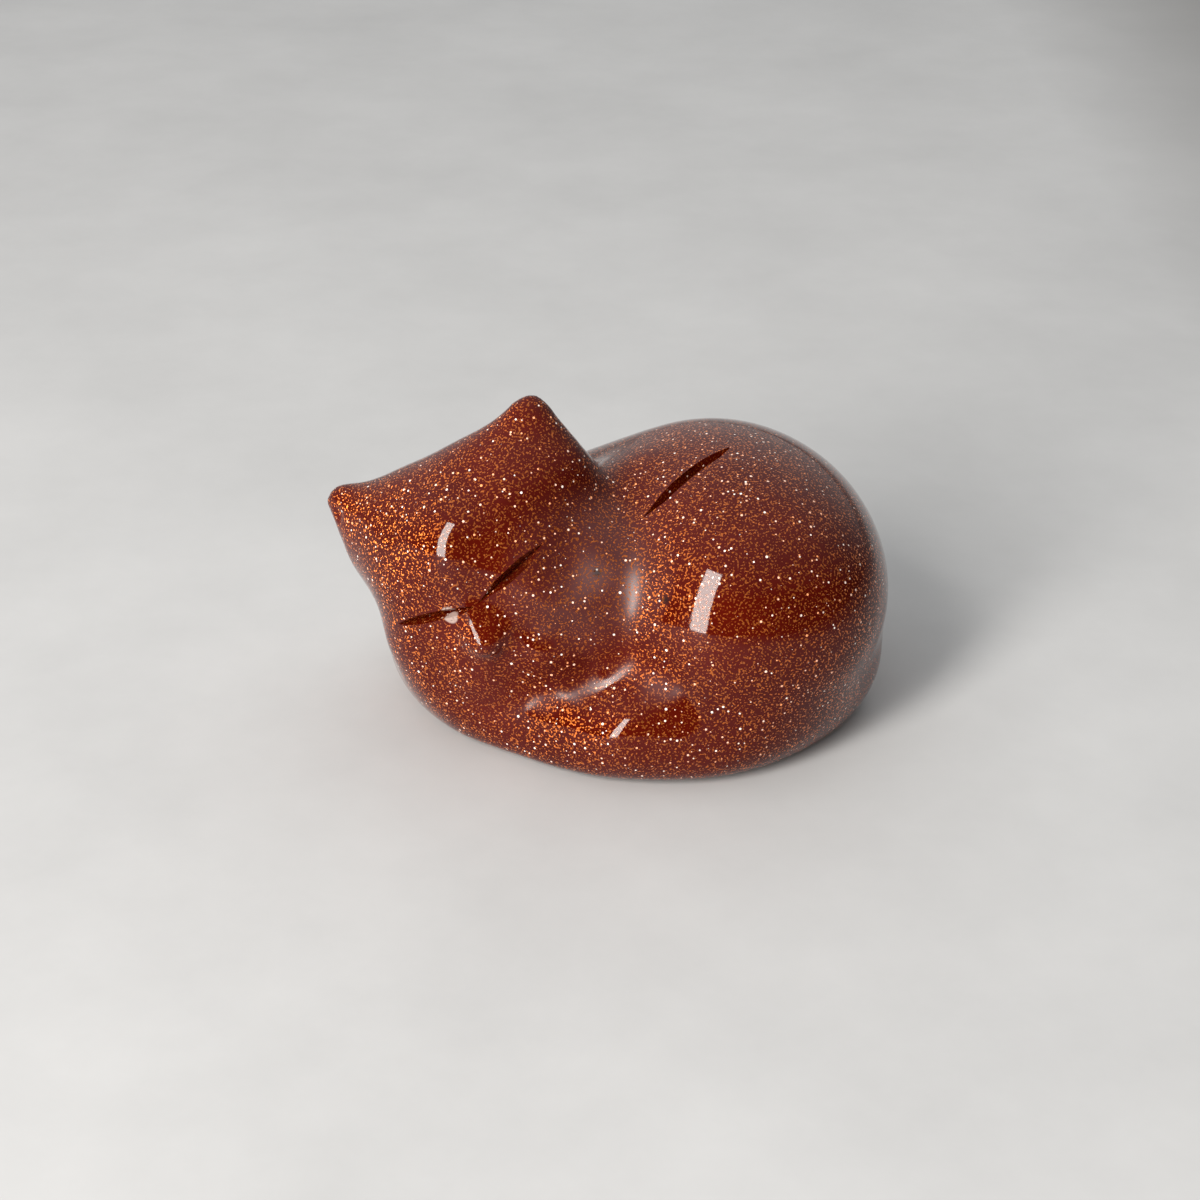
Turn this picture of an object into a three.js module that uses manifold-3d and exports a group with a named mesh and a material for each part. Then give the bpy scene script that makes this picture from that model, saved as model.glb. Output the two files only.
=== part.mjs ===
// A curled, sleeping cat, carved from one piece of goldstone glass and polished all over.
// Millimetres. +X runs along the cat's length to its rump, +Y towards its hidden back, +Z up.
import * as THREE from "three";
import { mergeVertices } from "three/addons/utils/BufferGeometryUtils.js";
import Module from "manifold-3d";

// Driving dimensions

// The back: the big dome of the curled body
const backX = 6.24;
const backY = 1.84;
const backZ = 9.75;
const backLength = 29.43;
const backDepth = 28.06;
const backHeight = 28.12;

// The haunch: the folded hind leg, which swells out of the back at the front
const haunchX = 8.55;
const haunchY = -4.39;
const haunchZ = 11.93;
const haunchLength = 24.74;
const haunchDepth = 26.19;
const haunchHeight = 23.77;

// The shoulders: the low saddle between the head and the back
const shoulderX = -5;
const shoulderY = 4;
const shoulderZ = 9.6;
const shoulderLength = 18;
const shoulderDepth = 24;
const shoulderHeight = 16.6;

// The foreleg: the flat slope that falls from the shoulders to under the chin
const forelegX = -5.2;
const forelegY = -3.7;
const forelegZ = 10.8;
const forelegWidth = 12;
const forelegDepth = 10;
const forelegLength = 20;
const forelegLean = 33;
const forelegPitch = 28;

// The chest: the low mass that lies on the ground under the head
const chestX = -9.3;
const chestY = 2.47;
const chestZ = 4.5;
const chestLength = 26.41;
const chestDepth = 25.92;
const chestHeight = 15;

// The head: its frame has the nose forwards, and it is turned, nodded and tilted
const headX = -14.29;
const headY = -4.85;
const headZ = 17.17;
const headTurn = -10;
const headNod = -5;
const headTilt = 30.18;
const skullWidth = 15.76;
const skullDepth = 15.4;
const skullHeight = 15.74;
const cheekWidth = 22.16;
const cheekDepth = 11;
const cheekHeight = 15.69;
const cheekDrop = 5.23;
const cheekForward = 0.89;
const noseWidth = 3.2;
const noseDepth = 3.8;
const noseLength = 5;
const noseDrop = 4.8;
const noseForward = 7.2;

// The ears: blunt flattened cones on the corners of the skull
const earSpread = 6.9;
const earRise = 2.53;
const earBack = 1.8;
const earSplay = 26.36;
const earTurn = 20;
const earHeight = 5.2;
const earRootRadius = 4.7;
const earTipRadius = 1.81;
const earThickness = 0.7;

// The tail: a round band that lies along the foot, from the rump round the front to the left
const tailX = 0.1;
const tailY = 1.86;
const tailSweepLength = 33.21;
const tailSweepDepth = 30.36;
const tailSlew = 0.9;
const tailStart = -20;
const tailEnd = -177.33;
const tailRadius = 4.8;
const tailTipRadius = 4.12;
const tailAxisHeight = 3.92;

// How widely each mass melts into the next
const haunchBlend = 3;
const shoulderBlend = 6;
const forelegBlend = 4;
const chestBlend = 5;
const headBlend = 4;
const cheekBlend = 3;
const noseBlend = 2;
const earBlend = 5.58;
const tailBlend = 3.5;

// The ground foot
const footRounding = 1.5;
const footLap = 0.4;

// The closed eyes and the thigh crease: slits ground by the V-shaped rims of thin wheels
const eyeAcross = 3.9;
const eyeDrop = 2.5;
const eyeSlant = 5;
const eyeWrap = 32;
const eyeUndercut = 20;
const eyeWheelRadius = 9;
const eyeDepth = 0.9;
const creaseX = 1.2;
const creaseY = -2.4;
const creaseHeading = 48;
const creaseTip = 18;
const creaseWheelRadius = 20;
const creaseDepth = 1.2;
const wheelHalfThickness = 0.5;
const wheelBevel = 1.1;

// How closely the form is sampled, on the face and on the rest of the body
const faceStep = 0.9;
const bodyStep = 1.35;
const relaxRounds = 2;
const surfaceTolerance = 0.001;
const tailSteps = 48;
const wheelFacets = 96;

const local = new THREE.Vector3();

// The box that holds every mass, which grows as the masses are made
const extent = new THREE.Box3();

function holds(point, radius) {
  extent.union(new THREE.Box3(point.clone().subScalar(radius), point.clone().addScalar(radius)));
}

function placed(x, y, z, turn = new THREE.Quaternion()) {
  return { centre: new THREE.Vector3(x, y, z), unturn: turn.clone().invert() };
}

// The signed distance to an ellipsoid, close to true near its surface
function ellipsoid(frame, length, depth, height) {
  const half = new THREE.Vector3(length, depth, height).multiplyScalar(0.5);
  holds(frame.centre, Math.max(half.x, half.y, half.z));
  return (p) => {
    local.copy(p).sub(frame.centre).applyQuaternion(frame.unturn).divide(half);
    const reach = local.length();
    const slope = local.divide(half).length();
    return slope > 0 ? (reach * (reach - 1)) / slope : -half.z;
  };
}

// A cone with two round ends, flattened along its own Y
function roundCone(frame, height, rootRadius, tipRadius, flattening) {
  const narrowing = (rootRadius - tipRadius) / height;
  const lean = Math.sqrt(1 - narrowing * narrowing);
  holds(frame.centre, height + tipRadius);
  return (p) => {
    local.copy(p).sub(frame.centre).applyQuaternion(frame.unturn);
    const out = Math.sqrt(local.x * local.x + (local.y * local.y) / (flattening * flattening));
    const along = lean * local.z - narrowing * out;
    if (along < 0) return Math.sqrt(out * out + local.z * local.z) - rootRadius;
    if (along > lean * height) {
      const past = local.z - height;
      return Math.sqrt(out * out + past * past) - tipRadius;
    }
    return lean * out + narrowing * local.z - rootRadius;
  };
}

// A tube with a changing radius along a line of points
function band(points, radiusAt) {
  const steps = points.length - 1;
  const radii = points.map((point, i) => radiusAt(i / steps));
  const spans = points.slice(1).map((point, i) => point.clone().sub(points[i]));
  const lengths = spans.map((span) => span.lengthSq());
  points.forEach((point, i) => holds(point, radii[i]));
  return (p) => {
    let nearest = Infinity;
    for (let i = 0; i < steps; i++) {
      local.copy(p).sub(points[i]);
      const share = THREE.MathUtils.clamp(local.dot(spans[i]) / lengths[i], 0, 1);
      const radius = THREE.MathUtils.lerp(radii[i], radii[i + 1], share);
      nearest = Math.min(nearest, local.addScaledVector(spans[i], -share).length() - radius);
    }
    return nearest;
  };
}

// The join of two masses, melted together where they are within one blend width of each other
function melt(a, b, width) {
  const overlap = Math.max(width - Math.abs(a - b), 0) / width;
  return Math.min(a, b) - (overlap * overlap * width) / 4;
}

// A turn made of rotations about X, Y and Z, in degrees, of which the one about Y comes last
function turned(aboutX, aboutY, aboutZ, order = "YXZ") {
  const angles = [aboutX, aboutY, aboutZ].map(THREE.MathUtils.degToRad);
  return new THREE.Quaternion().setFromEuler(new THREE.Euler(...angles, order));
}

const headPose = turned(headNod, -headTilt, headTurn, "ZXY");
const headAt = new THREE.Vector3(headX, headY, headZ);

// A place in the head's own frame: across the face, forwards from it and up it
function onHead(across, forward, up, splay = 0, turn = 0) {
  const at = new THREE.Vector3(across, -forward, up).applyQuaternion(headPose).add(headAt);
  return placed(at.x, at.y, at.z, headPose.clone().multiply(turned(0, splay, turn)));
}

const back = ellipsoid(placed(backX, backY, backZ), backLength, backDepth, backHeight);
const haunch = ellipsoid(
  placed(haunchX, haunchY, haunchZ),
  haunchLength,
  haunchDepth,
  haunchHeight,
);
const shoulders = ellipsoid(
  placed(shoulderX, shoulderY, shoulderZ),
  shoulderLength,
  shoulderDepth,
  shoulderHeight,
);
const foreleg = ellipsoid(
  placed(forelegX, forelegY, forelegZ, turned(-forelegPitch, forelegLean, 0)),
  forelegWidth,
  forelegDepth,
  forelegLength,
);
const chest = ellipsoid(placed(chestX, chestY, chestZ), chestLength, chestDepth, chestHeight);
const skull = ellipsoid(onHead(0, 0, 0), skullWidth, skullDepth, skullHeight);
const cheeks = ellipsoid(
  onHead(0, cheekForward, -cheekDrop),
  cheekWidth,
  cheekDepth,
  cheekHeight,
);
const nose = ellipsoid(onHead(0, noseForward, -noseDrop), noseWidth, noseDepth, noseLength);
const ears = [-1, 1].map((side) =>
  roundCone(
    onHead(side * earSpread, -earBack, earRise, side * earSplay, side * earTurn),
    earHeight,
    earRootRadius,
    earTipRadius,
    earThickness,
  ),
);
// The tail's centre line is part of an ellipse that runs round inside the foot
const tailLine = new THREE.EllipseCurve(
  tailX,
  tailY,
  tailSweepLength / 2,
  tailSweepDepth / 2,
  THREE.MathUtils.degToRad(tailStart),
  THREE.MathUtils.degToRad(tailEnd),
  true,
  THREE.MathUtils.degToRad(tailSlew),
).getSpacedPoints(tailSteps);
const tail = band(
  tailLine.map((at) => new THREE.Vector3(at.x, at.y, tailAxisHeight)),
  (share) => THREE.MathUtils.lerp(tailRadius, tailTipRadius, share * share),
);

// The whole form as one signed distance, negative inside
function carving(p) {
  let form = melt(back(p), shoulders(p), shoulderBlend);
  form = melt(form, chest(p), chestBlend);
  form = melt(form, foreleg(p), forelegBlend);
  form = melt(form, haunch(p), haunchBlend);
  let head = melt(skull(p), cheeks(p), cheekBlend);
  head = melt(head, nose(p), noseBlend);
  for (const ear of ears) head = melt(head, ear(p), earBlend);
  form = melt(form, head, headBlend);
  form = melt(form, tail(p), tailBlend);
  return -melt(-form, p.z + footLap, footRounding);
}

// The step that takes a point straight towards the surface, and the slope that points out of it
const slope = new THREE.Vector3();
const probe = new THREE.Vector3();
const probeStep = 0.01;

function slopeAt(p) {
  for (const axis of ["x", "y", "z"]) {
    probe.copy(p)[axis] += probeStep;
    const ahead = carving(probe);
    probe[axis] -= 2 * probeStep;
    slope[axis] = (ahead - carving(probe)) / (2 * probeStep);
  }
  return slope;
}

function settle(p) {
  const distance = carving(p);
  const out = slopeAt(p);
  return p.addScaledVector(out, -distance / out.lengthSq());
}

// Grid lines along one axis, a face step apart below the border and a body step above it
function gridLines(from, border, to) {
  const lines = [from];
  while (lines.at(-1) < to) {
    const step = lines.at(-1) < border ? faceStep : bodyStep;
    lines.push(lines.at(-1) + step);
  }
  return lines;
}

// A closed mesh of the form: a vertex in each grid cell that the surface crosses,
// and a pair of triangles round each grid edge that it crosses
function polygonise() {
  const faceBorder = headAt.clone().addScalar(skullWidth / 2);
  const lines = [
    gridLines(extent.min.x - bodyStep, faceBorder.x, extent.max.x + bodyStep),
    gridLines(extent.min.y - bodyStep, headY, extent.max.y + bodyStep),
    gridLines(-footLap - faceStep, Infinity, extent.max.z + bodyStep),
  ];
  const counts = lines.map((along) => along.length);
  const strides = [1, counts[0], counts[0] * counts[1]];
  const field = new Float32Array(counts[0] * counts[1] * counts[2]);
  const cellVertex = new Int32Array(field.length).fill(-1);
  const place = new THREE.Vector3();
  const cells = [];
  for (let k = 0; k < counts[2]; k++) {
    for (let j = 0; j < counts[1]; j++) {
      for (let i = 0; i < counts[0]; i++) {
        place.set(lines[0][i], lines[1][j], lines[2][k]);
        field[i + j * strides[1] + k * strides[2]] = carving(place);
        cells.push([i, j, k]);
      }
    }
  }

  // A crevice too narrow for the grid would pinch the surface where the corners of a grid face
  // alternate, so the shallower outside corner is filled, as a polishing wheel bridges it
  const inside = (n) => field[n] < 0;
  const fillPinches = () => {
    let filled = 0;
    for (const cell of cells) {
      const home = cell[0] + cell[1] * strides[1] + cell[2] * strides[2];
      for (const [b, c] of [[0, 1], [1, 2], [2, 0]]) {
        if (cell[b] + 1 >= counts[b] || cell[c] + 1 >= counts[c]) continue;
        const round = [home, home + strides[b], home + strides[b] + strides[c], home + strides[c]];
        const outer = round.filter((n) => !inside(n));
        if (outer.length !== 2 || inside(round[0]) !== inside(round[2])) continue;
        field[field[outer[0]] < field[outer[1]] ? outer[0] : outer[1]] = -surfaceTolerance;
        filled++;
      }
    }
    return filled;
  };
  while (fillPinches() > 0);

  const points = [];
  for (const cell of cells) {
    if (cell.some((index, axis) => index + 1 >= counts[axis])) continue;
    const home = cell[0] + cell[1] * strides[1] + cell[2] * strides[2];
    const middle = new THREE.Vector3();
    let crossings = 0;
    for (const axis of [0, 1, 2]) {
      const [side, other] = [(axis + 1) % 3, (axis + 2) % 3];
      for (const [b, c] of [[0, 0], [1, 0], [0, 1], [1, 1]]) {
        const start = home + b * strides[side] + c * strides[other];
        const end = start + strides[axis];
        if (inside(start) === inside(end)) continue;
        const share = field[start] / (field[start] - field[end]);
        const [near, far] = [lines[axis][cell[axis]], lines[axis][cell[axis] + 1]];
        const crossing = [0, 0, 0];
        crossing[axis] = THREE.MathUtils.lerp(near, far, share);
        crossing[side] = lines[side][cell[side] + b];
        crossing[other] = lines[other][cell[other] + c];
        middle.add(place.fromArray(crossing));
        crossings++;
      }
    }
    if (!crossings) continue;
    cellVertex[home] = points.length;
    points.push(middle.divideScalar(crossings));
  }

  const triangles = [];
  for (const cell of cells) {
    const home = cell[0] + cell[1] * strides[1] + cell[2] * strides[2];
    for (const axis of [0, 1, 2]) {
      if (cell[axis] + 1 >= counts[axis]) continue;
      if (inside(home) === inside(home + strides[axis])) continue;
      const [side, other] = [strides[(axis + 1) % 3], strides[(axis + 2) % 3]];
      const around = [home, home - side, home - side - other, home - other];
      const ring = around.map((n) => cellVertex[n]);
      const [a, b, c, d] = inside(home) ? ring : ring.reverse();
      if (points[a].distanceToSquared(points[c]) < points[b].distanceToSquared(points[d])) {
        triangles.push(a, b, c, a, c, d);
      } else {
        triangles.push(b, c, d, b, d, a);
      }
    }
  }
  return { points, triangles };
}

// Each vertex moves to the middle of its neighbours and back to the surface: this evens the triangles
function relax({ points, triangles }, rounds) {
  const neighbours = points.map(() => new Set());
  for (let t = 0; t < triangles.length; t += 3) {
    for (const [from, to] of [[0, 1], [1, 2], [2, 0]]) {
      neighbours[triangles[t + from]].add(triangles[t + to]);
    }
  }
  for (let round = 0; round < rounds; round++) {
    const middles = neighbours.map((near) => {
      const middle = new THREE.Vector3();
      for (const n of near) middle.add(points[n]);
      return middle.divideScalar(near.size);
    });
    points.forEach((point, i) => settle(settle(point.copy(middles[i]))));
  }
}

const wasm = await Module();
wasm.setup();

// A manifold-3d solid of a closed geometry, and the geometry of a solid
function solidOf(geometry) {
  const bare = new THREE.BufferGeometry();
  bare.setAttribute("position", geometry.getAttribute("position"));
  bare.setIndex(geometry.getIndex());
  const closed = mergeVertices(bare);
  const vertProperties = closed.getAttribute("position").array;
  const triVerts = Uint32Array.from(closed.getIndex().array);
  return new wasm.Manifold(new wasm.Mesh({ numProp: 3, vertProperties, triVerts }));
}

function geometryOf(solid) {
  const mesh = solid.getMesh();
  const geometry = new THREE.BufferGeometry();
  geometry.setAttribute("position", new THREE.BufferAttribute(mesh.vertProperties, 3));
  geometry.setIndex(new THREE.BufferAttribute(mesh.triVerts, 1));
  geometry.computeVertexNormals();
  return geometry;
}

// A grinding wheel with a V-shaped rim, lowered along its approach until it bites to a depth.
// It turns in the plane of its approach and the slit.
function wheelCut(above, approach, slit, radius, depth) {
  const surface = above.clone();
  while (carving(surface) > surfaceTolerance) surface.addScaledVector(approach, carving(surface));
  const axle = new THREE.Vector3().crossVectors(slit, approach).normalize();
  const pose = new THREE.Matrix4().makeBasis(
    new THREE.Vector3().crossVectors(approach, axle),
    axle,
    approach.clone().negate(),
  );
  pose.setPosition(surface.addScaledVector(approach, depth - radius));
  const profile = [
    new THREE.Vector2(0, -wheelHalfThickness),
    new THREE.Vector2(radius - wheelBevel, -wheelHalfThickness),
    new THREE.Vector2(radius, 0),
    new THREE.Vector2(radius - wheelBevel, wheelHalfThickness),
    new THREE.Vector2(0, wheelHalfThickness),
  ];
  return new THREE.LatheGeometry(profile, wheelFacets).applyMatrix4(pose);
}

function eyeCut(side) {
  const outward = turned(0, 0, side * eyeWrap).multiply(turned(eyeUndercut, 0, 0));
  const approach = new THREE.Vector3(0, 1, 0).applyQuaternion(outward).applyQuaternion(headPose);
  const slit = new THREE.Vector3(side, 0, 0)
    .applyQuaternion(turned(0, -side * eyeSlant, 0))
    .applyQuaternion(outward)
    .applyQuaternion(headPose);
  const above = onHead(side * eyeAcross, noseForward, -eyeDrop).centre;
  above.addScaledVector(approach, -skullDepth);
  return wheelCut(above, approach, slit, eyeWheelRadius, eyeDepth);
}

function creaseCut() {
  const above = new THREE.Vector3(creaseX, creaseY, backZ + backHeight);
  const slit = new THREE.Vector3(1, 0, 0).applyQuaternion(turned(0, 0, creaseHeading));
  const approach = new THREE.Vector3(0, 0, -1).applyQuaternion(turned(-creaseTip, 0, 0));
  return wheelCut(above, approach, slit, creaseWheelRadius, creaseDepth);
}

// The foot is lapped flat: everything below the ground is taken off
function groundCut() {
  const { x: width, y: depth, z: height } = extent.getSize(new THREE.Vector3()).addScalar(bodyStep);
  const under = extent.getCenter(new THREE.Vector3()).setZ(-height / 2);
  return new THREE.BoxGeometry(width, depth, height).translate(under.x, under.y, under.z);
}

function carvedForm() {
  const form = polygonise();
  relax(form, relaxRounds);
  const geometry = new THREE.BufferGeometry().setFromPoints(form.points);
  geometry.setIndex(form.triangles);
  return geometry;
}

const cuts = [groundCut(), eyeCut(-1), eyeCut(1), creaseCut()];
const carved = cuts.reduce((solid, cut) => solid.subtract(solidOf(cut)), solidOf(carvedForm()));
const geometry = geometryOf(carved);

// The origin is the middle of the footprint's box, on the ground
geometry.computeBoundingBox();
const middle = geometry.boundingBox.getCenter(new THREE.Vector3());
geometry.translate(-middle.x, -middle.y, 0);

// Goldstone: clear dark red-brown glass full of copper flakes, polished bright
const goldstone = new THREE.MeshStandardMaterial({ color: "#7a2410", roughness: 0.15, metalness: 0.1 });

const cat = new THREE.Mesh(geometry, goldstone);
cat.name = "carved_cat";

const object = new THREE.Group();
object.add(cat);

export default object;
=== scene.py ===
# %% [markdown]
# # A sleeping cat in goldstone
# The real object is a cat curled up asleep, small enough for a palm. It was ground out of one
# block of goldstone, a red-brown glass that is full of copper flakes, and then polished until
# it looks wet. So this lesson has one body and one kind of glass, and both have to be good: on
# a polished thing every flat facet and every dent shows in the reflections.

# %% Start from the carved form
import math

import bpy
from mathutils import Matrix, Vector


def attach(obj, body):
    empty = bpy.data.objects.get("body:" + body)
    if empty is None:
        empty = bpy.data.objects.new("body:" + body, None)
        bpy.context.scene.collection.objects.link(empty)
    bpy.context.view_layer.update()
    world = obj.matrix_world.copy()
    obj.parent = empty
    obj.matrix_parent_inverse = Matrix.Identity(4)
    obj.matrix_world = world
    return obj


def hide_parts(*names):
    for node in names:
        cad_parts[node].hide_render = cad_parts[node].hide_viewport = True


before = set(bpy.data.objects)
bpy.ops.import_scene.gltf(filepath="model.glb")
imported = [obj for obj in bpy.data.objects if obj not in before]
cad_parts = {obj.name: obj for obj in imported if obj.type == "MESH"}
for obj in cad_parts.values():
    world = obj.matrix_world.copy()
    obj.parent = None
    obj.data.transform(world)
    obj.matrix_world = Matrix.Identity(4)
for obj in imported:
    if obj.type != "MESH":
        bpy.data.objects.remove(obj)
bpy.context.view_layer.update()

# %% [markdown]
# ## Lengths and colours
# Blender counts in metres and the carver in millimetres, so one value turns one into the
# other. Colours are chosen as the hex values that a screen shows, and the shaders want them
# linear, so one function turns them.

# %% Millimetres and colours
MM = 0.001


def srgb(hex_value):
    channels = [int(hex_value[i : i + 2], 16) / 255 for i in (1, 3, 5)]
    linear = [c / 12.92 if c <= 0.04045 else ((c + 0.055) / 1.055) ** 2.4 for c in channels]
    return (*linear, 1.0)


print("mid grey is", [round(c, 3) for c in srgb("#808080")])

# %% [markdown]
# ## The block before its slits
# The carved form that the frame brings is made of flat triangles about a millimetre wide,
# and its eyes and thigh crease are already cut. Rounding it as it is would melt the slits, so
# the slits are closed first, the body is rounded, and they are ground again afterwards. A
# copy is used, because the frame itself has to stay as it is. Its triangles are loose, so
# their corners are merged before anything else.

# %% Copy the carved form
SAME_PLACE = 0.001 * MM
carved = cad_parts["carved_cat"]
cat = bpy.data.objects.new("polished_cat", carved.data.copy())
bpy.context.scene.collection.objects.link(cat)


def only(obj):
    bpy.ops.object.select_all(action="DESELECT")
    obj.select_set(True)
    bpy.context.view_layer.objects.active = obj


only(cat)
bpy.ops.object.mode_set(mode="EDIT")
bpy.ops.mesh.select_all(action="SELECT")
bpy.ops.mesh.remove_doubles(threshold=SAME_PLACE)
bpy.ops.object.mode_set(mode="OBJECT")
print(len(cat.data.vertices), "corners after merging")

# %% [markdown]
# ## Where the slits of the carved form are
# On the real carving the closed eyes and the thigh crease are ground by the rim of a small
# wheel. A wheel's slit is known from its middle on the surface, the way it runs, the way the
# wheel goes in, the wheel's radius and the depth. These values are those of the slits that the
# carved form has, and they serve to find and close them.

# %% The three slits to close
SLITS = {
    "left eye": {
        "middle": (-14.627, -10.846, 13.873),
        "along": (-0.692, 0.598, -0.404),
        "into": (0.401, 0.784, 0.474),
        "radius": 9,
        "depth": 0.9,
    },
    "right eye": {
        "middle": (-8.253, -11.64, 17.588),
        "along": (0.787, 0.414, 0.458),
        "into": (-0.455, 0.89, -0.024),
        "radius": 9,
        "depth": 0.9,
    },
    "thigh crease": {
        "middle": (4.101, -7.059, 21.209),
        "along": (0.669, 0.743, 0),
        "into": (0, -0.309, -0.951),
        "radius": 20,
        "depth": 1.2,
    },
}
# Each wheel is twice this thick, and its rim is a V this deep
HALF_THICKNESS = 0.5 * MM
BEVEL = 1.1 * MM


def wheel_of(slit):
    into = Vector(slit["into"]).normalized()
    axle = Vector(slit["along"]).cross(into).normalized()
    radius = slit["radius"] * MM
    centre = Vector(slit["middle"]) * MM + into * (slit["depth"] * MM - radius)
    return centre, axle, radius


for name, slit in SLITS.items():
    print(name, "was ground by a wheel at", [round(c / MM, 1) for c in wheel_of(slit)[0]])

# %% [markdown]
# ## Closing them
# The walls of a slit are the only faces that lie on its wheel: on the flanks of the V or,
# where the slit is deeper than the V, on the wheel's two sides. So they can be picked by their
# place. They are deleted, and the two lips of each gap are bridged. A plain fill would cut
# corners along so long and bent a gap, so it closes only the ends.

# %% Pick faces and edges in code
WALL_TOLERANCE = 0.02 * MM


def on_wheel(point, wheel):
    centre, axle, radius = wheel
    across = abs((point - centre).dot(axle))
    out = math.sqrt(max((point - centre).length_squared - across**2, 0))
    off_flank = abs(out - (radius - across * BEVEL / HALF_THICKNESS))
    off_side = abs(across - HALF_THICKNESS)
    on_flank = across < HALF_THICKNESS and off_flank < WALL_TOLERANCE
    on_side = out < radius - BEVEL and off_side < WALL_TOLERANCE
    return on_flank or on_side


def select_only(kind, numbers):
    bpy.ops.object.mode_set(mode="EDIT")
    bpy.ops.mesh.select_mode(type=kind)
    bpy.ops.mesh.select_all(action="DESELECT")
    bpy.ops.object.mode_set(mode="OBJECT")
    elements = {"VERT": cat.data.vertices, "EDGE": cat.data.edges, "FACE": cat.data.polygons}[kind]
    for number in numbers:
        elements[number].select = True
    bpy.ops.object.mode_set(mode="EDIT")


def select_open_edges():
    bpy.ops.mesh.select_mode(type="EDGE")
    bpy.ops.mesh.select_all(action="DESELECT")
    bpy.ops.mesh.select_non_manifold(extend=False)


print("a wall face is picked within", WALL_TOLERANCE / MM, "mm of its wheel")

# %% Close the slits


def close(slit):
    wheel = wheel_of(slit)
    walls = [face.index for face in cat.data.polygons if on_wheel(face.center, wheel)]
    select_only("FACE", walls)
    bpy.ops.mesh.delete(type="FACE")
    select_open_edges()
    bpy.ops.object.mode_set(mode="OBJECT")
    # The two lips are all of the gap's edge but the corners where the slit ends
    points = cat.data.vertices
    along = Vector(slit["along"])
    rim = [edge for edge in cat.data.edges if edge.select]
    rim_corners = {corner for edge in rim for corner in edge.vertices}
    in_line = sorted(rim_corners, key=lambda corner: points[corner].co.dot(along))
    ends = {in_line[0], in_line[-1]}
    select_only("EDGE", [edge.index for edge in rim if not ends & set(edge.vertices)])
    bpy.ops.mesh.bridge_edge_loops()
    select_open_edges()
    bpy.ops.mesh.fill()
    bpy.ops.object.mode_set(mode="OBJECT")
    return len(walls)


only(cat)
for name, slit in SLITS.items():
    print(name, "had", close(slit), "wall faces")
bpy.ops.object.mode_set(mode="EDIT")
bpy.ops.mesh.select_all(action="SELECT")
bpy.ops.mesh.normals_make_consistent(inside=False)
bpy.ops.object.mode_set(mode="OBJECT")

# %% [markdown]
# ## Rounding the body
# Subdivision rounds each facet into its neighbours without pulling the thin ears in, as
# smoothing alone would. A voxel remesh then gives an even skin of small quads, because
# subdivided triangles meet in points that would show in the polish, and a few rounds of
# smoothing take out what ripple is left.

# %% Round and even out the skin
SKIN = 0.3 * MM
SMOOTHING_ROUNDS = 16


def apply(obj, kind, **settings):
    only(obj)
    modifier = obj.modifiers.new(kind.lower(), kind)
    for key, value in settings.items():
        setattr(modifier, key, value)
    bpy.ops.object.modifier_apply(modifier=modifier.name)


apply(cat, "SUBSURF", levels=1, render_levels=1)
apply(cat, "REMESH", mode="VOXEL", voxel_size=SKIN, adaptivity=0)
apply(cat, "SMOOTH", factor=0.5, iterations=SMOOTHING_ROUNDS)
print(len(cat.data.polygons), "faces in the rounded skin")

# %% [markdown]
# ## The carver's last strokes
# The blank has the right masses, but a carver goes on taking a little off here and leaving a
# little there until the light runs over it as it should. In Blender that is a corner moved
# along its normal with proportional editing, which takes its neighbours along less and less.
# Each stroke has a place, an amount, where minus takes glass off, and a reach. All are in
# millimetres.

# %% Strokes that shape the body


def stroke(name, place, amount, reach):
    *_, normal, face = cat.closest_point_on_mesh(Vector(place) * MM)
    corner = cat.data.polygons[face].vertices[0]
    push = normal * amount * MM
    select_only("VERT", [corner])
    bpy.ops.transform.translate(
        value=push,
        use_proportional_edit=True,
        proportional_edit_falloff="SMOOTH",
        proportional_size=reach * MM,
    )
    bpy.ops.object.mode_set(mode="OBJECT")
    print(name, "by", amount, "mm")


only(cat)
stroke("right cheek fuller", (-2.7, -11.1, 14.7), 1.73, 10)
stroke("muzzle fuller", (-9.5, -11.6, 9.5), 1.86, 5.5)
stroke("left cheek fuller below", (-14.9, -9.5, 8.0), 0.94, 7.5)
stroke("right ear broader", (-2.8, -4.4, 24.5), 0.66, 10)
stroke("chin carried into the tail", (-5.6, -11.9, 10.1), 1.4, 4)
stroke("tail slimmer on the left", (-5.3, -15.4, 4.6), -0.63, 7.5)
stroke("tail fuller on the right", (10.8, -15.9, 3.3), 0.47, 10)
stroke("nose cut back", (-10.6, -13.4, 14.9), -0.92, 4)
stroke("forehead flatter at the left", (-15.9, -7.8, 22.2), -0.42, 7.5)
stroke("left temple fuller", (-19.0, -7.0, 14.8), 0.55, 5.5)
stroke("cheek carried into the tail", (-1.1, -11.3, 10.7), 0.72, 4)
stroke("forehead fuller below the right ear", (-6.7, -7.7, 23.6), 0.52, 5.5)
stroke("right ear thinner behind", (-3.0, -0.9, 25.2), -0.52, 5.5)
stroke("saddle filled behind the right ear", (1.0, -0.1, 21.9), 0.5, 5.5)
stroke("hollow under the right eye", (-3.3, -10.5, 17.4), -0.67, 4)
stroke("top of the tail lower", (-0.4, -14.5, 7.9), -0.51, 4)
stroke("tail lower under the chin", (-9.6, -12.9, 2.7), -0.28, 5.5)
stroke("tail's crest raised", (1.6, -16.1, 6.6), 0.55, 6)
stroke("chest cut back beside the tail", (-7.5, -14.1, 7.4), -1.1, 10)
stroke("forehead rounder", (-14.2, -9.9, 20.9), 0.35, 5)
stroke("nick in the left ear", (-23.32, -1.74, 18.02), -0.3, 0.9)

# %% [markdown]
# ## Lapping the foot
# The rounding and the strokes near the ground have bent the foot a little, and a real one is
# lapped flat on a plate of grit. So a thin layer is cut off below a level plane, the cut is
# filled with one flat face, and the cat is set down again.

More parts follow.
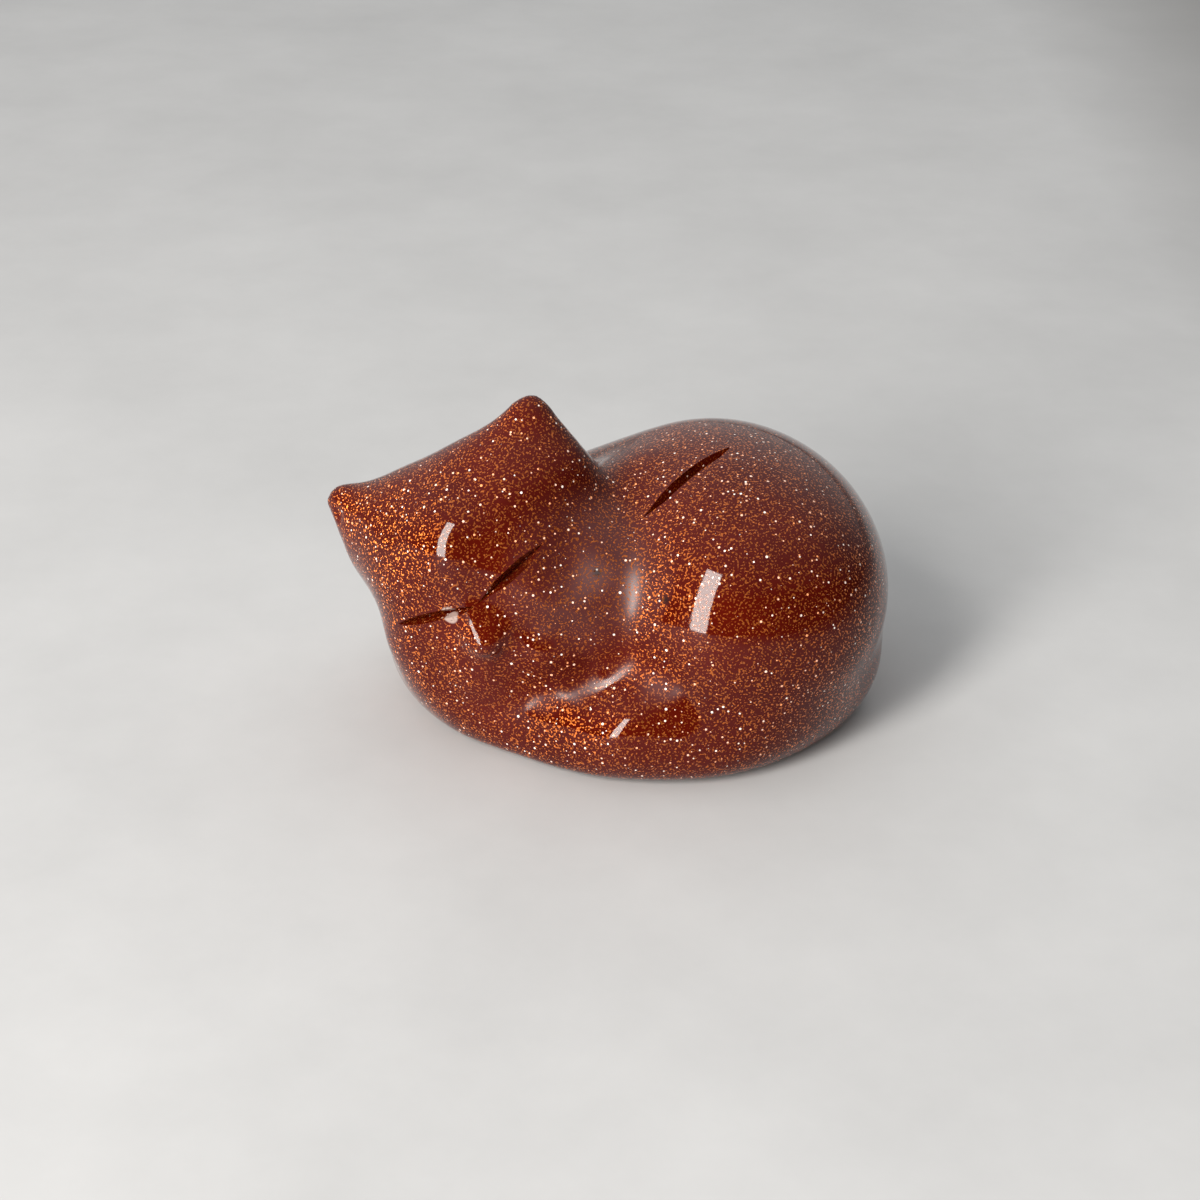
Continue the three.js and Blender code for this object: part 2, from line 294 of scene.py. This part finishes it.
# %% Lap the foot flat
LAPPED = 0.02 * MM
# A corner this close to the plane counts as on it
ON_PLANE = 0.0001 * MM
bpy.ops.object.mode_set(mode="EDIT")
bpy.ops.mesh.select_all(action="SELECT")
bpy.ops.mesh.bisect(
    plane_co=(0, 0, LAPPED),
    plane_no=(0, 0, 1),
    clear_inner=True,
    use_fill=True,
    threshold=ON_PLANE,
)
bpy.ops.mesh.select_all(action="SELECT")
bpy.ops.transform.translate(value=(0, 0, -LAPPED))
bpy.ops.object.mode_set(mode="OBJECT")
print(len(cat.data.polygons), "faces after lapping the foot")

# %% [markdown]
# ## The closed eyes and the thigh crease
# The rim of a wheel leaves a slit that is deepest in its middle and runs out to nothing at
# both ends. So the same wheel is made here: a disc whose rim is a V, swept out of a circle
# with two extrusions, and taken away from the body with a Boolean. A slit made this way has
# the right ends by itself. The slits lie where they do in the photograph, and because the
# strokes have moved the skin a little, each wheel is lowered until it meets the skin.

# %% The three slits to grind
CUTS = {
    "left eye": {
        "middle": (-14.1, -11.39, 13.82),
        "along": (0.792, -0.424, 0.439),
        "into": (0.515, 0.851, -0.107),
        "radius": 20,
        "depth": 0.9,
    },
    "right eye": {
        "middle": (-8.16, -11.95, 17.92),
        "along": (0.733, 0.26, 0.629),
        "into": (-0.011, 0.928, -0.371),
        "radius": 12,
        "depth": 1.35,
    },
    "thigh crease": {
        "middle": (6.1, -4.6, 23.0),
        "along": (0.728, 0.606, 0.321),
        "into": (0.004, 0.465, -0.886),
        "radius": 30,
        "depth": 1.4,
    },
}
APPROACH = 3 * MM


def lowered(slit):
    start = Vector(slit["middle"]) * MM - Vector(slit["into"]) * APPROACH
    met, place, *_ = cat.ray_cast(start, Vector(slit["into"]).normalized())
    return slit | {"middle": tuple(place / MM)} if met else slit


for name, slit in CUTS.items():
    print(name, "will have its middle at", [round(c, 2) for c in lowered(slit)["middle"]])

# %% The grinding wheel
WHEEL_CORNERS = 160
# The polishing cloth doesn't reach into a slit, so its walls get a material slot of their own
UNPOLISHED = 1


def grind(name, slit):
    centre, axle, radius = wheel_of(lowered(slit))
    inner = radius - BEVEL
    bpy.ops.object.select_all(action="DESELECT")
    bpy.ops.mesh.primitive_circle_add(
        vertices=WHEEL_CORNERS,
        radius=inner,
        fill_type="NGON",
        location=centre - axle * HALF_THICKNESS,
        rotation=axle.to_track_quat("Z", "Y").to_euler(),
    )
    wheel = bpy.context.object
    bpy.ops.object.mode_set(mode="EDIT")
    # Out to the rim in the wheel's middle plane, and back in to its other side
    for side, size in ((0, radius / inner), (1, inner / radius)):
        bpy.ops.mesh.extrude_region_move(TRANSFORM_OT_translate={"value": axle * HALF_THICKNESS})
        bpy.ops.transform.resize(
            value=(size, size, size),
            center_override=centre + axle * HALF_THICKNESS * side,
        )
    bpy.ops.mesh.select_all(action="SELECT")
    bpy.ops.mesh.normals_make_consistent(inside=False)
    bpy.ops.object.mode_set(mode="OBJECT")
    before = len(cat.data.polygons)
    apply(cat, "BOOLEAN", operation="DIFFERENCE", solver="EXACT", object=wheel)
    bpy.data.objects.remove(wheel)
    walls = [face for face in cat.data.polygons if on_wheel(face.center, (centre, axle, radius))]
    for face in walls:
        face.material_index = UNPOLISHED
    print(name, "ground:", len(cat.data.polygons) - before, "more faces,", len(walls), "walls")


for name, slit in CUTS.items():
    grind(name, slit)

# %% [markdown]
# ## Soft body, sharp lips
# The body is shaded smooth, and only the lips and the bottom of each slit and the foot's edge
# turn so steeply that they stay sharp.

# %% Shade the skin
SHARP = math.radians(35)
only(cat)
bpy.ops.object.shade_smooth_by_angle(angle=SHARP)
print("faces in the finished cat:", len(cat.data.polygons))

# %% [markdown]
# ## Goldstone
# Goldstone is clear glass with copper crystals grown in it: tiny flat mirrors at every angle
# and depth, in a melt that looks dark red-brown where few of them catch the light. Over it
# lies only the polished glass surface. So the shader has two layers. Underneath, a dark red
# ground is strewn with metal flakes, each with its own tilt and brightness. On top, a clear
# coat that ignores the tilts gives the wet, sharp reflections. All patterns are read from
# Object coordinates, so that they run through the glass as crystals do, and their scales are
# given in millimetres.

# %% A helper that adds a node
# The Mix node keeps its factor in socket 0 and its two colours in sockets 6 and 7
FACTOR, FIRST, SECOND = 0, 6, 7


def add(tree, kind, inputs=None, **settings):
    node = tree.nodes.new(kind)
    for key, value in settings.items():
        setattr(node, key, value)
    for key, value in (inputs or {}).items():
        if isinstance(value, bpy.types.NodeSocket):
            tree.links.new(value, node.inputs[key])
        else:
            node.inputs[key].default_value = value
    return node


goldstone = bpy.data.materials.new("goldstone, polished")
goldstone.use_nodes = True
tree = goldstone.node_tree
tree.nodes.clear()
place = add(tree, "ShaderNodeTexCoord").outputs["Object"]
normal = add(tree, "ShaderNodeNewGeometry").outputs["Normal"]
print(goldstone.name, "starts with", len(tree.nodes), "nodes")

# %% [markdown]
# ## Fine flakes
# Most of the copper is in flakes that the eye hardly parts. The real ones are finer than can be
# drawn at this size, so these are as coarse as they need to be to show. A noise that is cut off
# at a level gives their ragged, joined-up shapes, and its colour gives each its own luck.

# %% Fine flakes
FINE = 0.18 * MM
FLAKE_FROM, FLAKE_FULL = 0.57, 0.64
fine = add(tree, "ShaderNodeTexNoise", {"Vector": place, "Scale": 1 / FINE, "Detail": 1.0})
fine_mask = add(
    tree,
    "ShaderNodeMapRange",
    {"Value": fine.outputs["Fac"], "From Min": FLAKE_FROM, "From Max": FLAKE_FULL},
).outputs[0]
fine_luck = add(tree, "ShaderNodeSeparateColor", {0: fine.outputs["Color"]}).outputs["Red"]
print("fine flakes come from a noise", FINE / MM, "mm wide")

# %% [markdown]
# ## Sparkles, painted as glints
# A few flakes lie just right and flash, and their flash is painted into the colour as a glint.
# The glints are round specks of chance sizes, so a Voronoi pattern suits them: each of its
# cells has one point, and a disc is drawn round it. Cells with little luck get no disc at all.

# %% Sparkles, painted as glints
COARSE = 0.47 * MM
NO_LUCK = 0.2
LARGEST = 0.24
coarse = add(
    tree, "ShaderNodeTexVoronoi", {"Vector": place, "Scale": 1 / COARSE, "Randomness": 1.0}
)
coarse_luck = add(tree, "ShaderNodeSeparateColor", {0: coarse.outputs["Color"]})
coarse_size = add(
    tree,
    "ShaderNodeMapRange",
    {"Value": coarse_luck.outputs["Red"], "From Min": NO_LUCK, "To Max": LARGEST},
).outputs[0]
# Where the painted glints lie: a disc round each cell's point
painted_glint_mask = add(
    tree, "ShaderNodeMath", {0: coarse.outputs["Distance"], 1: coarse_size}, operation="LESS_THAN"
).outputs[0]
print("a sparkle is at most", round(2 * LARGEST * COARSE / MM, 2), "mm across")

# %% [markdown]
# ## The melt and its copper
# The crystals grow denser in some parts of the melt than in others, so the dark red ground
# has clouds in it. Flakes run from nearly as dark as the ground to bright copper. The sparkles
# are painted glints, from copper to nearly white.

# %% Colours of the melt and its copper
CLOUD = 7 * MM
DARK_BELOW, BRIGHT_ABOVE = 0.48, 0.74
cloud = add(tree, "ShaderNodeTexNoise", {"Vector": place, "Scale": 1 / CLOUD, "Detail": 3.0})
ground = add(
    tree,
    "ShaderNodeMix",
    {FACTOR: cloud.outputs[0], FIRST: srgb("#340502"), SECOND: srgb("#540e03")},
    data_type="RGBA",
).outputs[2]
fine_light = add(
    tree,
    "ShaderNodeMapRange",
    {"Value": fine_luck, "From Min": DARK_BELOW, "From Max": BRIGHT_ABOVE},
).outputs[0]
flake = add(
    tree,
    "ShaderNodeMix",
    {FACTOR: fine_light, FIRST: srgb("#4e1003"), SECOND: srgb("#fa8a3e")},
    data_type="RGBA",
).outputs[2]
with_fine = add(
    tree,
    "ShaderNodeMix",
    {FACTOR: fine_mask, FIRST: ground, SECOND: flake},
    data_type="RGBA",
).outputs[2]
# Painted glint: copper to nearly white, standing in for light that flashes off a flake
painted_glint = add(
    tree,
    "ShaderNodeMix",
    {FACTOR: coarse_luck.outputs["Green"], FIRST: srgb("#ffa060"), SECOND: srgb("#fff6ee")},
    data_type="RGBA",
).outputs[2]
flakes_and_painted_glints = add(
    tree,
    "ShaderNodeMix",
    {FACTOR: painted_glint_mask, FIRST: with_fine, SECOND: painted_glint},
    data_type="RGBA",
).outputs[2]
print("clouds are about", CLOUD / MM, "mm wide")

# %% [markdown]
# ## A chip and two pits, painted
# The left eye has a small chip. A pale spot stands for its frosted break and, in part, is a
# painted reflection of the light that its flat catches. The skin has two pits where the wheel
# cut a bubble open, and the shade inside them is painted as dark spots, because a dent in the
# mesh would gather a bright ring of light that the real pits don't have. Each is a round spot,
# found by its distance from one point.

# %% Spots round a point
CHIP = (-13.1, -11.8, 14.15)
PITS = ((4.64, -13.41, 16.6), (-0.94, -10.92, 17.71))


def near_to(middle, full, none):
    """1 within the length full of the middle, 0 past the length none, and a slope between."""
    away = add(
        tree, "ShaderNodeVectorMath", {0: place, 1: Vector(middle) * MM}, operation="DISTANCE"
    ).outputs["Value"]
    return add(
        tree,
        "ShaderNodeMapRange",
        {"Value": away, "From Min": full * MM, "From Max": none * MM, "To Min": 1.0, "To Max": 0.0},
    ).outputs[0]


# A pale spot for the chip: its frosted break, and in part a painted reflection of the light it
# catches
chip_and_painted_reflection = near_to(CHIP, full=0.7, none=0.85)
surface = add(
    tree,
    "ShaderNodeMix",
    {FACTOR: chip_and_painted_reflection, FIRST: flakes_and_painted_glints, SECOND: srgb("#a48d85")},
    data_type="RGBA",
).outputs[2]
# Painted shade: each pit is a dark spot where the shade inside it falls
for pit in PITS:
    painted_pit_shade = near_to(pit, full=0.1, none=0.5)
    surface = add(
        tree,
        "ShaderNodeMix",
        {FACTOR: painted_pit_shade, FIRST: surface, SECOND: srgb("#240402")},
        data_type="RGBA",
    ).outputs[2]
print("one chip and", len(PITS), "pits")

# %% [markdown]
# ## Flakes as mirrors
# Each fine flake is a small mirror with its own tilt: the noise's colour, taken as a way to
# lean, is added to the normal wherever there is a flake. Flakes are metal and the ground isn't.
# Sparkles aren't metal either: their flash is a painted glint of plain bright colour, so that
# they show from every side.

# %% Tilt the flakes
LEAN = 2.6
COPPER = 0.85
MIDDLE_OF_COLOURS = (0.5, 0.5, 0.5)
tilts = add(
    tree,
    "ShaderNodeVectorMath",
    {0: fine.outputs["Color"], 1: MIDDLE_OF_COLOURS},
    operation="SUBTRACT",
).outputs[0]
lean = add(tree, "ShaderNodeMath", {0: fine_mask, 1: LEAN}, operation="MULTIPLY").outputs[0]
tilt = add(tree, "ShaderNodeVectorMath", {0: tilts, "Scale": lean}, operation="SCALE").outputs[0]
tilted = add(tree, "ShaderNodeVectorMath", {0: normal, 1: tilt}, operation="ADD").outputs[0]
facing = add(tree, "ShaderNodeVectorMath", {0: tilted}, operation="NORMALIZE").outputs[0]
fine_only = add(
    tree, "ShaderNodeMath", {0: fine_mask, 1: painted_glint_mask}, operation="SUBTRACT", use_clamp=True
).outputs[0]
metal = add(tree, "ShaderNodeMath", {0: fine_only, 1: COPPER}, operation="MULTIPLY").outputs[0]
print("a flake leans by up to", LEAN / 2, "of the normal's length each way")

# %% [markdown]
# ## Where the cloth hardly reaches
# The recesses between cheek and haunch, and between haunch and tail, are polished less, so
# they stay dull and hazy. Each is a soft spot round a point, and the spots are joined by taking
# the larger value.

# %% Dull recesses
BESIDE_CHEEK = (-1.6, -10.6, 17.8)
TAIL_HOLLOWS = ((-6.0, -14.0, 8.2), (-3.0, -14.1, 9.6), (0.4, -13.6, 11.9), (3.8, -14.7, 9.8))
beside_cheek = near_to(BESIDE_CHEEK, full=3.0, none=7.5)
dull = beside_cheek
for hollow in TAIL_HOLLOWS:
    in_hollow = near_to(hollow, full=1.5, none=3.3)
    dull = add(tree, "ShaderNodeMath", {0: dull, 1: in_hollow}, operation="MAXIMUM").outputs[0]
print(1 + len(TAIL_HOLLOWS), "dull recesses")

# %% [markdown]
# ## The glass over it all
# The base is the flakes and the melt. It has a shine of its own only beside the cheek, where
# that makes the haze. The coat is the polished surface, mirror-bright on the body and rough
# and thin in the recesses. Its IOR is below the 1.5 of real glass, so that it mirrors the pale
# table and room as weakly as the real one does in the photograph.

# %% Goldstone, polished
BRIGHT_COAT, DULL_COAT = 0.05, 0.42
FULL_COAT, THIN_COAT = 1.0, 0.45
HAZE = 0.5
coat_roughness = add(
    tree, "ShaderNodeMapRange", {"Value": dull, "To Min": BRIGHT_COAT, "To Max": DULL_COAT}
).outputs[0]
coat_weight = add(
    tree, "ShaderNodeMapRange", {"Value": dull, "To Min": FULL_COAT, "To Max": THIN_COAT}
).outputs[0]
haze = add(tree, "ShaderNodeMath", {0: beside_cheek, 1: HAZE}, operation="MULTIPLY").outputs[0]
glass = add(
    tree,
    "ShaderNodeBsdfPrincipled",
    {
        "Base Color": surface,
        "Metallic": metal,
        "Roughness": 0.42,
        "Specular IOR Level": haze,
        "Normal": facing,
        "IOR": 1.5,
        "Coat Weight": coat_weight,
        "Coat Roughness": coat_roughness,
        "Coat IOR": 1.31,
    },
)
add(tree, "ShaderNodeOutputMaterial", {0: glass.outputs[0]})
print(goldstone.name, "has", len(tree.nodes), "nodes")

# %% [markdown]
# ## The walls of the slits
# These are ground and never polished. It is the same glass, so its material is a copy in which
# the wet coat is nearly gone, the same everywhere.

# %% Goldstone, ground and unpolished
unpolished = goldstone.copy()
unpolished.name = "goldstone, ground and unpolished"
rough_glass = unpolished.node_tree.nodes["Principled BSDF"]
for socket, level in (("Coat Roughness", 0.5), ("Coat Weight", 0.2)):
    for link in rough_glass.inputs[socket].links:
        unpolished.node_tree.links.remove(link)
    rough_glass.inputs[socket].default_value = level
cat.data.materials.clear()
cat.data.materials.append(goldstone)
cat.data.materials.append(unpolished)
print("the cat's materials:", [material.name for material in cat.data.materials])

# %% [markdown]
# ## It rides on the frame
# The polished cat stands for the carved form, which stays out of sight.

# %% Join it to the frame
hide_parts("carved_cat")
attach(cat, "root")
print(cat.name, "stands for the carved form")

# %% [markdown]
# ## The table and the light
# A polished thing shows its surroundings more than itself. The photograph was taken on a
# pale table by a tall window at the left, in a room that is darker behind the photographer
# than behind the cat. So there is a pale table, one tall soft lamp where the window was, and
# a plain world that is bright above and behind the cat and dim in front of it.

# %% The table
TABLE_WIDTH = 3
bpy.ops.object.select_all(action="DESELECT")
bpy.ops.mesh.primitive_plane_add(size=TABLE_WIDTH, location=(0, 0, 0))
table = bpy.context.object
table.name = "table"
print("the table is", TABLE_WIDTH, "m wide")

# %% [markdown]
# ## Whitewashed wood, with painted shade
# The wash lies thicker in some places than in others, so two pale greys are mixed by a noise
# as wide as a brush stroke. In front of the cat and to its right the floor turns to a plain
# mid grey, painted shade for the shade that falls there, so that the cat mirrors less of it.

# %% Whitewashed wood, matt, with painted shade
# The spans over which the floor turns to painted shade, in front of the cat and at its right
FRONT_PAINTED_SHADE = (-180 * MM, -80 * MM)
RIGHT_PAINTED_SHADE = (70 * MM, 120 * MM)
BRUSH = 30 * MM
paint = bpy.data.materials.new("whitewashed wood, matt, with painted shade")
paint.use_nodes = True
paint_shader = paint.node_tree.nodes["Principled BSDF"]
where = add(paint.node_tree, "ShaderNodeTexCoord").outputs["Object"]
across = add(paint.node_tree, "ShaderNodeSeparateXYZ", {0: where})
behind_front_painted_shade = add(
    paint.node_tree,
    "ShaderNodeMapRange",
    {"Value": across.outputs["Y"], "From Min": FRONT_PAINTED_SHADE[0], "From Max": FRONT_PAINTED_SHADE[1]},
).outputs[0]
left_of_right_painted_shade = add(
    paint.node_tree,
    "ShaderNodeMapRange",
    {
        "Value": across.outputs["X"],
        "From Min": RIGHT_PAINTED_SHADE[0],
        "From Max": RIGHT_PAINTED_SHADE[1],
        "To Min": 1.0,
        "To Max": 0.0,
    },
).outputs[0]
outside_painted_shade = add(
    paint.node_tree, "ShaderNodeMath", {0: behind_front_painted_shade, 1: left_of_right_painted_shade}, operation="MULTIPLY"
).outputs[0]
brushed = add(
    paint.node_tree,
    "ShaderNodeTexNoise",
    {"Vector": where, "Scale": 1 / BRUSH, "Detail": 6.0, "Roughness": 0.65},
)
wash = add(
    paint.node_tree,
    "ShaderNodeMix",
    {FACTOR: brushed.outputs[0], FIRST: srgb("#b0b1b2"), SECOND: srgb("#cacbcc")},
    data_type="RGBA",
).outputs[2]
# Painted shade: a plain mid grey in front of the cat and to its right, the pale wash elsewhere
wood = add(
    paint.node_tree,
    "ShaderNodeMix",
    {FACTOR: outside_painted_shade, FIRST: srgb("#828180"), SECOND: wash},
    data_type="RGBA",
).outputs[2]
paint.node_tree.links.new(wood, paint_shader.inputs["Base Color"])
paint_shader.inputs["Roughness"].default_value = 0.65
table.data.materials.append(paint)
print("the table's finish is", paint.name)

# %% [markdown]
# ## The window
# Its reflection is the bright slanted patch on haunch, forehead and tail, so its place, width
# and height come from where that patch lies and how large it is.

# %% The window
AIM = Vector((0, 0, 12)) * MM
WINDOW_WAY = Vector((-0.555, -0.755, 0.42)).normalized()
WINDOW_DISTANCE = 500 * MM
WINDOW_WIDTH = 118 * MM
WINDOW_HEIGHT = 470 * MM
WINDOW_WATTS = 4.9
bpy.ops.object.light_add(
    type="AREA",
    location=AIM + WINDOW_WAY * WINDOW_DISTANCE,
    rotation=WINDOW_WAY.to_track_quat("Z", "Y").to_euler(),
)
window = bpy.context.object
window.name = "window"
window.data.shape = "RECTANGLE"
window.data.size = WINDOW_WIDTH
window.data.size_y = WINDOW_HEIGHT
window.data.energy = WINDOW_WATTS
window.data.color = srgb("#fffaf4")[:3]
print("the window is", WINDOW_WIDTH, "by", WINDOW_HEIGHT, "m, at", WINDOW_WATTS, "W")

# %% [markdown]
# ## The room
# A plain world does for the walls and ceiling. It brightens towards one direction, behind and
# above the cat, and the rest of the room stays dim.

# %% The room
BRIGHT_WAY = Vector((-0.15, 0.5, 0.85)).normalized()
# The room is fully bright where the cosine of the angle to that direction is above this
BRIGHT_FROM = 0.8
DIM, BRIGHT = 0.06, 0.84
world = bpy.data.worlds.new("room")
bpy.context.scene.world = world
world.use_nodes = True
room = world.node_tree
room.nodes.clear()
way = add(room, "ShaderNodeTexCoord").outputs["Generated"]
towards = add(
    room, "ShaderNodeVectorMath", {0: way, 1: BRIGHT_WAY}, operation="DOT_PRODUCT"
).outputs["Value"]
shade = add(
    room,
    "ShaderNodeMapRange",
    {"Value": towards, "From Max": BRIGHT_FROM, "To Min": DIM, "To Max": BRIGHT},
).outputs[0]
walls = add(
    room,
    "ShaderNodeMix",
    {FACTOR: shade, FIRST: srgb("#000000"), SECOND: srgb("#fbfbfa")},
    data_type="RGBA",
).outputs[2]
light = add(room, "ShaderNodeBackground", {0: walls, 1: 1.0})
add(room, "ShaderNodeOutputWorld", {0: light.outputs[0]})
print("the room has", len(room.nodes), "nodes")

# %% [markdown]
# ## The camera
# The view comes from the photograph's outline: 30 degrees above the table and about 200 mm
# away, with a lens a third longer than the normal 50 mm.

# %% The camera
TARGET = Vector((-0.7, 4.4, 6.3)) * MM
ELEVATION = math.radians(30)
DISTANCE = 200 * MM
VIEW = Vector((0, -math.cos(ELEVATION), math.sin(ELEVATION)))
bpy.ops.object.camera_add(
    location=TARGET + VIEW * DISTANCE, rotation=(math.pi / 2 - ELEVATION, 0, 0)
)
camera = bpy.context.object
camera.data.sensor_fit = "HORIZONTAL"
camera.data.sensor_width = 36
camera.data.lens = 66.6
camera.data.clip_start = 0.01
bpy.context.scene.camera = camera
bpy.context.scene.view_settings.view_transform = "Standard"
print("the camera looks from", [round(c / MM) for c in camera.location], "mm")
